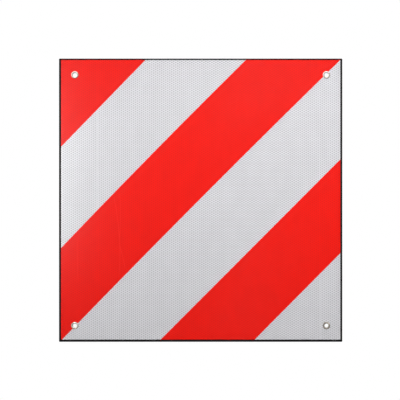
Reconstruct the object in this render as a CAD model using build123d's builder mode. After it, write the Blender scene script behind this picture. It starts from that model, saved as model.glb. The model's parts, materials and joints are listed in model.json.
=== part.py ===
from build123d import *
import os

# Sign for a load that overhangs: a square black board, faced with white honeycomb reflective
# sheet, with three red fields over the sheet and an eyelet near each corner to tie it on by.
# X runs right and Z up as the sign hangs, and its face looks along -Y. The origin is the
# centre of the four eyelets, in the plane of the board's back.

# Board: one square of stiff black plastic
board_width = 500.0
board_height = 500.0
board_thickness = 2.5
board_corner_radius = 1.5
board_edge_radius = 0.4

# Reflective sheet, and how much of the board shows beside it
sheet_thickness = 0.4
margin_left = 3.6
margin_right = 3.5
margin_top = 2.6
margin_bottom = 4.1

# Red fields: clear red film over the sheet. Each edge is placed by where it meets the sides
# of the sheet, as a length from one of the sheet's corners. The middle field starts in the
# upper right corner, and both its long edges bow a little to the upper left.
film_thickness = 0.1
upper_from_left = 149.0
upper_from_top = 153.2
middle_from_left = 326.1
middle_from_top = 331.6
middle_from_lower_left = 2.1
middle_bow_above = 1.8
middle_bow_below = 2.4
lower_near_from_right = 151.0
lower_near_from_bottom = 152.2
lower_far_from_right = 317.2
lower_far_from_bottom = 318.0

# Eyelets: drawn from thin metal, pushed through from the face, and curled over a washer behind
eyelet_from_sides = 28.0
eyelet_from_ends = 28.8
eyelet_wall = 0.4
bore_radius = 3.5
flange_radius = 6.5
flange_height = 1.0
curl_radius = 5.4
curl_height = 0.9
barrel_clearance = 0.1

# Washers
washer_radius = 6.6
washer_thickness = 0.6
washer_edge_radius = 0.2

# Layers, as heights above the board's back, towards the viewer
board_face = board_thickness
sheet_face = board_face + sheet_thickness
film_face = sheet_face + film_thickness

# Sides of the reflective sheet
sheet_left = margin_left - board_width / 2
sheet_right = board_width / 2 - margin_right
sheet_bottom = margin_bottom - board_height / 2
sheet_top = board_height / 2 - margin_top

# Spacing of the eyelets, across and up
eyelet_pitch_x = board_width - 2 * eyelet_from_sides
eyelet_pitch_z = board_height - 2 * eyelet_from_ends

# The barrel goes through the layers and the washer with the same clearance
barrel_radius = bore_radius + eyelet_wall
hole_radius = barrel_radius + barrel_clearance

# Middle and half width of the ring that the flange makes on the face, and the curl behind
flange_middle = (flange_radius + bore_radius) / 2
flange_reach = (flange_radius - bore_radius) / 2
curl_middle = (curl_radius + bore_radius) / 2
curl_reach = (curl_radius - bore_radius) / 2

eyelet_places = {
    "top_left": (-eyelet_pitch_x / 2, eyelet_pitch_z / 2),
    "top_right": (eyelet_pitch_x / 2, eyelet_pitch_z / 2),
    "bottom_left": (-eyelet_pitch_x / 2, -eyelet_pitch_z / 2),
    "bottom_right": (eyelet_pitch_x / 2, -eyelet_pitch_z / 2),
}

# Corners of each layer on the board's face, as (x, z). Where a third value stands, the edge
# that starts there bows that far to its left.
sheet_corners = [
    (sheet_left, sheet_top),
    (sheet_right, sheet_top),
    (sheet_right, sheet_bottom),
    (sheet_left, sheet_bottom),
]
red_corners = {
    "upper": [
        (sheet_left, sheet_top),
        (sheet_left + upper_from_left, sheet_top),
        (sheet_left, sheet_top - upper_from_top),
    ],
    "middle": [
        (sheet_left + middle_from_left, sheet_top),
        (sheet_right, sheet_top, -middle_bow_below),
        (sheet_left + middle_from_lower_left, sheet_bottom),
        (sheet_left, sheet_bottom),
        (sheet_left, sheet_top - middle_from_top, middle_bow_above),
    ],
    "lower": [
        (sheet_right, sheet_bottom + lower_far_from_bottom),
        (sheet_right, sheet_bottom + lower_near_from_bottom),
        (sheet_right - lower_near_from_right, sheet_bottom),
        (sheet_right - lower_far_from_right, sheet_bottom),
    ],
}

os.makedirs("parts", exist_ok=True)


def layer(corners, base, thickness):
    """A flat layer on the face, from its corners, punched for the eyelets."""
    with BuildPart() as flat:
        with BuildSketch(Plane.XZ.offset(base)):
            with BuildLine():
                for start, end in zip(corners, corners[1:] + corners[:1]):
                    if len(start) > 2:
                        SagittaArc(start[:2], end[:2], start[2])
                    else:
                        Line(start, end[:2])
            make_face()
            with GridLocations(eyelet_pitch_x, eyelet_pitch_z, 2, 2):
                Circle(hole_radius, mode=Mode.SUBTRACT)
        extrude(amount=thickness)
    return flat


# Board, with its cut edge eased front and back
with BuildPart() as backing_board:
    with BuildSketch(Plane.XZ):
        RectangleRounded(board_width, board_height, board_corner_radius)
        with GridLocations(eyelet_pitch_x, eyelet_pitch_z, 2, 2):
            Circle(hole_radius, mode=Mode.SUBTRACT)
    extrude(amount=board_thickness)
    outlines = [face.outer_wire() for face in backing_board.faces().filter_by(Axis.Y)]
    fillet([edge for outline in outlines for edge in outline.edges()], board_edge_radius)
backing_board.part.label = "backing_board"
export_step(backing_board.part, "parts/backing_board.step")

# Reflective sheet
reflective_sheet = layer(sheet_corners, board_face, sheet_thickness)
reflective_sheet.part.label = "reflective_sheet"
export_step(reflective_sheet.part, "parts/reflective_sheet.step")

# Red fields
red_fields = {name: layer(corners, sheet_face, film_thickness) for name, corners in red_corners.items()}
for name, field in red_fields.items():
    field.part.label = f"red_field_{name}"
    export_step(field.part, f"parts/red_field_{name}.step")

# Eyelets. The flange stands on the red film where any lies under it, and else on the sheet.
# Its section is one thickness of metal all along: a domed flange, the barrel, and a curl that
# comes down on the washer.
for name, (x, z) in eyelet_places.items():
    centre = Vertex(x, -film_face, z)
    on_film = any(field.part.distance_to(centre) < flange_radius for field in red_fields.values())
    seat = film_face if on_film else sheet_face
    washer_back = -seat - washer_thickness
    with BuildPart() as eyelet:
        with BuildSketch(Plane(origin=(x, -seat, z), x_dir=(1, 0, 0), z_dir=(0, 0, -1))):
            with BuildLine():
                for skin in (0, eyelet_wall):
                    EllipticalCenterArc(
                        (flange_middle, 0), flange_reach - skin, flange_height - skin, 0, arc_size=180
                    )
                    EllipticalCenterArc(
                        (curl_middle, washer_back), curl_reach - skin, curl_height - skin, 180, arc_size=180
                    )
                    Line((bore_radius + skin, 0), (bore_radius + skin, washer_back))
                Line((flange_radius - eyelet_wall, 0), (flange_radius, 0))
                Line((curl_radius - eyelet_wall, washer_back), (curl_radius, washer_back))
            make_face()
        revolve(axis=Axis((x, 0, z), (0, -1, 0)))
    eyelet.part.label = f"eyelet_{name}"
    export_step(eyelet.part, f"parts/eyelet_{name}.step")

# Washers, flat on the board's back, with the outer edge rounded over
for name, place in eyelet_places.items():
    with BuildPart() as washer:
        with BuildSketch(Plane.XZ):
            with Locations(place):
                Circle(washer_radius)
                Circle(hole_radius, mode=Mode.SUBTRACT)
        extrude(amount=-washer_thickness)
        back = washer.faces().sort_by(Axis.Y)[-1]
        fillet(back.outer_wire().edges(), washer_edge_radius)
    washer.part.label = f"washer_{name}"
    export_step(washer.part, f"parts/washer_{name}.step")
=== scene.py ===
"""Dresses the overhanging load sign: finishes, honeycomb relief, floor, lights and camera."""
import bpy
import functools
import itertools
import json
import math
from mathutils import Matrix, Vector


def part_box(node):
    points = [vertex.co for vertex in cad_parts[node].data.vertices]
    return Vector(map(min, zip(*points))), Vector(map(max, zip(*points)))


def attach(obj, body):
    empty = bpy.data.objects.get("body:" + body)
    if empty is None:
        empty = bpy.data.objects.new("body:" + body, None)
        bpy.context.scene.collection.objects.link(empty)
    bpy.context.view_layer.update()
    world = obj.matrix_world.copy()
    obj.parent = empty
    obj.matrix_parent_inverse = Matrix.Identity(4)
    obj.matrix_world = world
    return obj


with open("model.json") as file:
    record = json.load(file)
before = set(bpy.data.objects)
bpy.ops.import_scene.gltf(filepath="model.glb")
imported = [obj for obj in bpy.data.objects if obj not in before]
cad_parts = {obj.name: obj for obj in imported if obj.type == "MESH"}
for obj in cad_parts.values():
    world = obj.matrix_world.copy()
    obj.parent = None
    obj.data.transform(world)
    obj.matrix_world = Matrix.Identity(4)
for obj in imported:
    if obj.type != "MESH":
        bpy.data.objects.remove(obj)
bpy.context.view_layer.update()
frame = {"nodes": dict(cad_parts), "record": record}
nodes = frame["nodes"]

MM = 0.001

# The photograph: pixels from edge to edge, the real width of one at the sign's face, and the
# pixel that the middle of the board falls on
photo_pixels = 400
pixel_width = 1.765 * MM
board_middle_px = (200.66, 200.2)
camera_distance = 3.0

# Honeycomb of the reflective sheet: cells stand in upright columns, and every second column
# stands half a cell higher. One cell's middle is given, from the middle of the board.
column_spacing = 3.543 * MM
cell_pitch = 4.122 * MM
first_cell = Vector((-1.55 * MM, 0, -0.24 * MM))

# A cell's six corners, in column spacings across and cell pitches up from its middle
cell_corners = ((1 / 3, 0.5), (2 / 3, 0), (1 / 3, -0.5), (-1 / 3, -0.5), (-2 / 3, 0), (-1 / 3, 0.5))

# The waves that draw the cells as a pattern: turns a column across, turns a cell up, and
# strength. The wave across is the weakest, because the upright edges of the cells look the
# faintest. Their sum is net below minus the softness and cell above plus the softness.
cell_waves = ((1, 0, 0.6), (0.5, 1, 1), (0.5, -1, 1))
net_softness = 0.7

# The net that seals the cells: its height, and how far from its middle line its crest and its
# foot reach. Its corners are rounded to a micrometre, so that neighbouring cells share them.
net_height = 0.05 * MM
net_crest = 0.25 * MM
net_foot = 0.55 * MM
corner_digits = 6

# Two straight seams in the honeycomb, from the joints of the roll that pressed it. Each is
# placed by its x half way up the board, and they lean a little, so the direction across them
# isn't quite level.
seams = (-181.5 * MM, 210 * MM)
seam_width = 0.6 * MM
across_seams = (1, 0, 0.0058)

# Scratches in the red film: upper end and lower end as (x, z), bow to the right, and width.
# The arch of a scratch rises from 0 at its ends to a quarter half way, and from the taper on
# the scratch has its full width.
scratches = (
    ((-155.2 * MM, 16 * MM), (-144.3 * MM, -138 * MM), 5.9 * MM, 0.6 * MM),
    ((-143 * MM, 14 * MM), (-143.5 * MM, -72 * MM), 1.5 * MM, 0.45 * MM),
    ((-142.7 * MM, -80 * MM), (-133.2 * MM, -121 * MM), 0.5 * MM, 0.6 * MM),
    ((-217.5 * MM, -68 * MM), (-216.5 * MM, -142 * MM), -0.5 * MM, 0.45 * MM),
)
scratch_taper = 0.1

# Nearly all of a noise texture lies between these two values
noise_low = 0.3
noise_high = 0.7

# The sign hangs about as high over the floor as on a rack behind a car
floor_drop = 1.0
floor_width = 9.6

# White that the floor shows by itself where it is seen, and the world's strength as a lamp
floor_glow = 0.95
world_light = 0.1


def linear(colour):
    """An sRGB colour such as "#d8d8dc" as linear red, green, blue and full alpha."""
    parts = [int(colour[i:i + 2], 16) / 255 for i in (1, 3, 5)]
    return [c / 12.92 if c <= 0.04045 else ((c + 0.055) / 1.055) ** 2.4 for c in parts] + [1.0]


def add(tree, kind, inputs=None, output=None, **settings):
    """Adds a node with its settings, sets or links its inputs, and returns one of its outputs."""
    made = tree.nodes.new("ShaderNode" + kind)
    for setting, value in settings.items():
        setattr(made, setting, value)
    for name, value in (inputs or {}).items():
        socket = next(s for s in made.inputs if s.enabled and name in (s.identifier, s.name))
        if isinstance(value, bpy.types.NodeSocket):
            tree.links.new(value, socket)
        else:
            socket.default_value = value
    shown = [s for s in made.outputs if s.enabled]
    return next((s for s in shown if output in (None, s.name)), None)


def new_material(name):
    """An empty material and its node tree."""
    made = bpy.data.materials.new(name)
    made.use_nodes = True
    made.node_tree.nodes.clear()
    return made, made.node_tree


def put_in_scene(name, data):
    """Makes an object of a mesh, a lamp or a camera, and puts it in the scene."""
    made = bpy.data.objects.new(name, data)
    bpy.context.scene.collection.objects.link(made)
    return made


def cell_depth(tree, place):
    """0 on the net and on the seams, and 1 in a cell.

    The cells come from three plane waves at 60 degrees to each other. A seam is a straight
    strip of plain net.
    """
    from_cell = add(tree, "VectorMath", {"Vector": place, "Vector_001": first_cell},
                    operation="SUBTRACT")
    total = 0.0
    for across, up, strength in cell_waves:
        wave = Vector((across / column_spacing, 0, up / cell_pitch)) * math.tau
        turns = add(tree, "VectorMath", {"Vector": from_cell, "Vector_001": wave}, "Value",
                    operation="DOT_PRODUCT")
        height = add(tree, "Math", {"Value": turns}, operation="COSINE")
        height = add(tree, "Math", {"Value": height, "Value_001": strength}, operation="MULTIPLY")
        total = add(tree, "Math", {"Value": total, "Value_001": height}, operation="ADD")
    depth = add(tree, "MapRange", {"Value": total, "From Min": -net_softness,
                                   "From Max": net_softness}, "Result")
    from_middle = add(tree, "VectorMath", {"Vector": place, "Vector_001": across_seams}, "Value",
                      operation="DOT_PRODUCT")
    for seam in seams:
        on_seam = add(tree, "Math", {"Value": from_middle, "Value_001": seam,
                                     "Value_002": seam_width / 2}, operation="COMPARE")
        depth = add(tree, "Math", {"Value": depth, "Value_001": on_seam}, operation="SUBTRACT",
                    use_clamp=True)
    return depth


def scratched(tree, place):
    """1 on a scratch and 0 beside it. Each scratch narrows towards its ends.

    Down runs from 0 at the upper end to 1 at the lower end, and up the other way. Four times
    the arch is 1 half way, where the whole bow is reached.
    """
    where = add(tree, "SeparateXYZ", {"Vector": place}).node.outputs
    total = 0.0
    for (upper_x, upper_z), (lower_x, lower_z), bow, width in scratches:
        down = add(tree, "MapRange", {"Value": where["Z"], "From Min": upper_z,
                                      "From Max": lower_z}, "Result")
        up = add(tree, "Math", {"Value": 1.0, "Value_001": down}, operation="SUBTRACT")
        arch = add(tree, "Math", {"Value": up, "Value_001": down}, operation="MULTIPLY")
        straight = add(tree, "MapRange", {"Value": down, "To Min": upper_x, "To Max": lower_x},
                       "Result")
        line = add(tree, "Math", {"Value": arch, "Value_001": 4 * bow, "Value_002": straight},
                   operation="MULTIPLY_ADD")
        reach = add(tree, "MapRange", {"Value": arch, "From Max": scratch_taper,
                                       "To Max": width / 2}, "Result")
        mark = add(tree, "Math", {"Value": where["X"], "Value_001": line, "Value_002": reach},
                   operation="COMPARE")
        total = add(tree, "Math", {"Value": total, "Value_001": mark}, operation="MAXIMUM")
    return total


def sheeting(name, net_colour, cell_colour, haze, gloss, scratch_colour=None):
    """Bead sheeting under a clear acrylic film: beads sealed into cells by a net.

    The cells look a shade darker than the net, which gives the face its fine dotted weave.
    Beads and adhesive vary a little over a few centimetres, and rolling the sheet on left
    faint, short streaks up and down it. Haze is the wide, weak shine of the beads and gloss
    the tighter shine of the clear film. Red film lies over the same cells, so they show
    through in red, and a scratch in it shows as a paler hairline.
    """
    made, tree = new_material(name)
    place = add(tree, "TexCoord", output="Object")
    depth = cell_depth(tree, place)
    weave = add(tree, "Mix", {"Factor": depth, "A": linear(net_colour), "B": linear(cell_colour)},
                data_type="RGBA")

    # Slow clouds, and streaks that are about three times as long as they are wide
    cloud = add(tree, "TexNoise", {"Vector": place, "Scale": 1 / (30 * MM), "Detail": 2.0}, "Fac")
    upright = add(tree, "VectorMath", {"Vector": place, "Vector_001": (1, 1, 0.3)},
                  operation="MULTIPLY")
    streak = add(tree, "TexNoise", {"Vector": upright, "Scale": 1 / (14 * MM), "Detail": 1.0},
                 "Fac")
    wander = add(tree, "Math", {"Value": cloud, "Value_001": streak}, operation="ADD")
    shade = add(tree, "MapRange", {"Value": wander, "From Min": 0.75, "From Max": 1.25}, "Result")
    tone = add(tree, "Mix", {"Factor": shade, "A": linear("#fbfbfb"), "B": linear("#ffffff")},
               data_type="RGBA")
    colour = add(tree, "Mix", {"Factor": 1.0, "A": weave, "B": tone}, data_type="RGBA",
                 blend_type="MULTIPLY")
    if scratch_colour:
        colour = add(tree, "Mix", {"Factor": scratched(tree, place), "A": colour,
                                   "B": linear(scratch_colour)}, data_type="RGBA")

    roughness = add(tree, "MapRange", {"Value": cloud, "From Min": noise_low,
                                       "From Max": noise_high, "To Min": 0.36, "To Max": 0.42},
                    "Result")
    grain = add(tree, "TexNoise", {"Vector": place, "Scale": 1 / (0.8 * MM), "Detail": 1.0}, "Fac")
    relief = add(tree, "Bump", {"Height": grain, "Strength": 0.1, "Distance": 0.02 * MM})
    shader = add(tree, "BsdfPrincipled", {
        "Base Color": colour,
        "Roughness": roughness,
        "IOR": 1.49,
        "Specular IOR Level": haze,
        "Coat Weight": gloss,
        "Coat Roughness": 0.17,
        "Coat IOR": 1.49,
        "Normal": relief,
    })
    add(tree, "OutputMaterial", {"Surface": shader})
    return made


def black_board():
    """Rolled black plastic board: deep black and dull, with a pebbled skin and a slight greying.

    The real pebble is under a millimetre, and is drawn coarser so that it shows.
    """
    made, tree = new_material("black_board")
    place = add(tree, "TexCoord", output="Object")
    cloud = add(tree, "TexNoise", {"Vector": place, "Scale": 1 / (40 * MM), "Detail": 3.0}, "Fac")
    greying = add(tree, "MapRange", {"Value": cloud, "From Min": noise_low,
                                     "From Max": noise_high}, "Result")
    colour = add(tree, "Mix", {"Factor": greying, "A": linear("#020202"), "B": linear("#0f0f10")},
                 data_type="RGBA")
    pebble = add(tree, "TexNoise", {"Vector": place, "Scale": 1 / (3 * MM), "Detail": 3.0}, "Fac")
    roughness = add(tree, "MapRange", {"Value": pebble, "From Min": noise_low,
                                       "From Max": noise_high, "To Min": 0.42, "To Max": 0.64},
                    "Result")
    relief = add(tree, "Bump", {"Height": pebble, "Strength": 0.6, "Distance": 0.3 * MM})
    shader = add(tree, "BsdfPrincipled", {
        "Base Color": colour,
        "Roughness": roughness,
        "IOR": 1.5,
        "Specular IOR Level": 0.06,
        "Normal": relief,
    })
    add(tree, "OutputMaterial", {"Surface": shader})
    return made


def nickel_plate():
    """Nickel plated brass, pressed and tumbled: warm bright metal.

    It is bright where it faces up and left, the side the light comes from. Where it faces the
    other way it is painted a dark brown grey, as painted shade. It also has brown grey tarnished
    patches, more of them on the lower left eyelet and nearly all over on the lower right one.
    """
    made, tree = new_material("nickel_plate")
    place = add(tree, "TexCoord", output="Object")
    # Painted shade: the metal is coloured dark brown grey where it faces away from up and left
    lit_side = (-0.64, 0, 0.77)
    down_and_right = (0.5, 0, -1)
    normal = add(tree, "NewGeometry", output="Normal")
    facing_light = add(tree, "VectorMath", {"Vector": normal, "Vector_001": lit_side}, "Value",
                 operation="DOT_PRODUCT")
    painted_shade = add(tree, "MapRange", {"Value": facing_light, "From Min": 0.25, "From Max": -0.25}, "Result")
    # Brown grey patches grow more common towards the lower right
    low = add(tree, "VectorMath", {"Vector": place, "Vector_001": down_and_right}, "Value",
              operation="DOT_PRODUCT")
    lower_right_share = add(tree, "MapRange", {"Value": low, "From Min": -0.1, "From Max": 0.33, "To Max": 0.3},
              "Result")
    patch = add(tree, "TexNoise", {"Vector": place, "Scale": 1 / (5 * MM), "Detail": 2.0}, "Fac")
    stain = add(tree, "Math", {"Value": patch, "Value_001": lower_right_share}, operation="ADD")
    spots = add(tree, "MapRange", {"Value": stain, "From Min": 0.58, "From Max": 0.75,
                                   "To Max": 0.75}, "Result")
    # The dark colour stands both for painted shade and for tarnished patches
    shade_and_tarnish = add(tree, "Math", {"Value": painted_shade, "Value_001": spots}, operation="MAXIMUM")
    colour = add(tree, "Mix", {"Factor": shade_and_tarnish, "A": linear("#c9c0b4"), "B": linear("#3a342e")},
                 data_type="RGBA")
    roughness = add(tree, "MapRange", {"Value": patch, "From Min": noise_low,
                                       "From Max": noise_high, "To Min": 0.24, "To Max": 0.42},
                    "Result")
    scuff = add(tree, "TexNoise", {"Vector": place, "Scale": 1 / (0.5 * MM), "Detail": 2.0}, "Fac")
    relief = add(tree, "Bump", {"Height": scuff, "Strength": 0.25, "Distance": 0.02 * MM})
    shader = add(tree, "BsdfPrincipled", {
        "Base Color": colour,
        "Metallic": 1.0,
        "Roughness": roughness,
        "Normal": relief,
    })
    add(tree, "OutputMaterial", {"Surface": shader})
    return made


def background_rays(tree):
    """1 for a ray that sees the background, straight or in metal or glass, and 0 for the rest."""
    ray = add(tree, "LightPath").node.outputs
    seen = ray["Is Camera Ray"]
    for kind in ("Is Glossy Ray", "Is Transmission Ray"):
        seen = add(tree, "Math", {"Value": seen, "Value_001": ray[kind]}, operation="MAXIMUM")
    return seen


def pale_floor():
    """Pale floor paper, which shows white to the camera and keeps the sign's shadow."""
    made, tree = new_material("pale_floor")
    paper = add(tree, "BsdfDiffuse", {"Color": linear("#a0a0a0")})
    glow = add(tree, "Math", {"Value": background_rays(tree), "Value_001": floor_glow},
               operation="MULTIPLY")
    light = add(tree, "Emission", {"Strength": glow})
    both = add(tree, "AddShader", {"Shader": paper, "Shader_001": light})
    add(tree, "OutputMaterial", {"Surface": both})
    return made


finishes = {
    "white_reflective_sheet": sheeting("white_sheeting", "#d5d4d8", "#acacaf", haze=0.2, gloss=0.62),
    "red_film": sheeting("red_film", "#ed0f00", "#df0c00", haze=0.045, gloss=0.15,
                         scratch_colour="#f2281f"),
    "black_plastic": black_board(),
    "nickel_plate": nickel_plate(),
}
slots = {subpart["node"]: subpart["material_slot"] for subpart in frame["record"]["subparts"]}
for name, slot in slots.items():
    nodes[name].data.materials.clear()
    nodes[name].data.materials.append(finishes[slot])


# The front of each node, and a plane one metre before the sign to look at its face from
face_y = {name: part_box(name)[0].y for name in slots}
look_from_y = min(face_y.values()) - 1
graph = bpy.context.evaluated_depsgraph_get()


@functools.cache
def seen_at(x, z):
    """The name of the node that shows at a place on the sign's face, if any does."""
    found = bpy.context.scene.ray_cast(graph, (x, look_from_y, z), (0, 1, 0))[4]
    return found.name if found else None


def net_ring(i, j):
    """One cell's stretch of the net as (x, height, z): middle line, edge of the crest, and foot."""
    x = first_cell.x + i * column_spacing
    z = first_cell.z + (j + i % 2 / 2) * cell_pitch
    loops = []
    for inward, height in ((0, net_height), (net_crest, net_height), (net_foot, 0)):
        share = 1 - 2 * inward / cell_pitch
        loop = [(x + across * share * column_spacing, z + up * share * cell_pitch)
                for across, up in cell_corners]
        loops.append([(round(corner_x, corner_digits), height, round(corner_z, corner_digits))
                      for corner_x, corner_z in loop])
    return loops


# The low net that seals the cells. It lies on whichever field shows, in one piece for each
# field's left and right half, and stops short of a field's edges and of the eyelets' flanges.
netted_slots = ("white_reflective_sheet", "red_film")
sheet_low, sheet_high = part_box("reflective_sheet")
columns = range(math.floor(sheet_low.x / column_spacing), math.ceil(sheet_high.x / column_spacing) + 1)
cells = range(math.floor(sheet_low.z / cell_pitch), math.ceil(sheet_high.z / cell_pitch) + 1)
nets = {}
for i, j in itertools.product(columns, cells):
    loops = net_ring(i, j)
    fields = {seen_at(x, z) for x, _, z in loops[0]}
    field = fields.pop()
    if fields or slots.get(field) not in netted_slots:
        # This cell's corners lie on different nodes, or not on the sheet or the film
        continue
    # Corners are numbered as they come, and one that a neighbour has made keeps its number
    corners, faces = nets.setdefault((field, "left" if i < 0 else "right"), ({}, []))
    rows = [[corners.setdefault((x, face_y[field] - height, z), len(corners)) for x, height, z in loop]
            for loop in loops]
    for outer, inner in zip(rows, rows[1:]):
        for k in range(len(outer)):
            after = (k + 1) % len(outer)
            faces.append((outer[k], inner[k], inner[after], outer[after]))
for (field, side), (corners, faces) in nets.items():
    mesh = bpy.data.meshes.new(f"sealing_net_{field}_{side}")
    mesh.from_pydata(list(corners), [], faces)
    mesh.materials.append(finishes[slots[field]])
    net = put_in_scene(mesh.name, mesh)
    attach(net, "root")

# Floor, far enough below that only its white and the sign's soft shadow reach a lower view
half = floor_width / 2
floor_corners = ((-half, -half), (half, -half), (half, half), (-half, half))
floor_mesh = bpy.data.meshes.new("floor")
floor_mesh.from_pydata([(x, y, -floor_drop) for x, y in floor_corners], [], [range(4)])
floor_mesh.materials.append(pale_floor())
floor = put_in_scene("floor", floor_mesh)


def soft_light(name, place, aim, width, height, power, spread=180):
    """A rectangular soft box at a place, turned to its aim. A grid narrows its spread, in degrees."""
    data = bpy.data.lights.new(name, "AREA")
    data.shape = "RECTANGLE"
    data.size = width
    data.size_y = height
    data.energy = power
    data.spread = math.radians(spread)
    lamp = put_in_scene(name, data)
    lamp.location = place
    lamp.rotation_euler = (Vector(aim) - Vector(place)).to_track_quat("-Z", "Y").to_euler()


# Lamps, in metres and watts: two wide ones from above, a strong one from the front right, and
# a small one that gives the soft shine on the left of the face
soft_light("light_above", (0, -1.12, 0.72), aim=(-0.02, 0, 0.06), width=2.2, height=0.2,
           power=2.35, spread=60)
soft_light("light_front", (0.4, -2.2, 1), aim=(0.1, 0, 0.05), width=1.6, height=0.3,
           power=5.5, spread=100)
soft_light("light_right", (1.1, -2.45, 0.6), aim=(0.1, 0, 0), width=0.6, height=0.9, power=16.6)
soft_light("light_left", (-0.62, -2.6, 0.1), aim=(-0.2, 0, 0.05), width=0.25, height=0.6,
           power=13.5)

# The world is white where it is seen, also in metal, and lights the sign more gently
world = bpy.data.worlds.new("studio")
bpy.context.scene.world = world
world.use_nodes = True
tree = world.node_tree
tree.nodes.clear()
strength = add(tree, "MapRange", {"Value": background_rays(tree), "To Min": world_light}, "Result")
backdrop = add(tree, "Background", {"Color": linear("#ffffff"), "Strength": strength})
add(tree, "OutputWorld", {"Surface": backdrop})

# Camera, square-on as in the photograph
board_low, board_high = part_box("backing_board")
middle = (board_low + board_high) / 2
offset = [(photo_pixels / 2 - px) * pixel_width for px in board_middle_px]
camera_data = bpy.data.cameras.new("camera")
camera_data.lens = camera_data.sensor_width * camera_distance / (photo_pixels * pixel_width)
camera = put_in_scene("camera", camera_data)
camera.location = (middle.x + offset[0], board_low.y - camera_distance, middle.z - offset[1])
camera.rotation_euler = (math.radians(90), 0, 0)
bpy.context.scene.camera = camera

bpy.context.scene.view_settings.view_transform = "Standard"
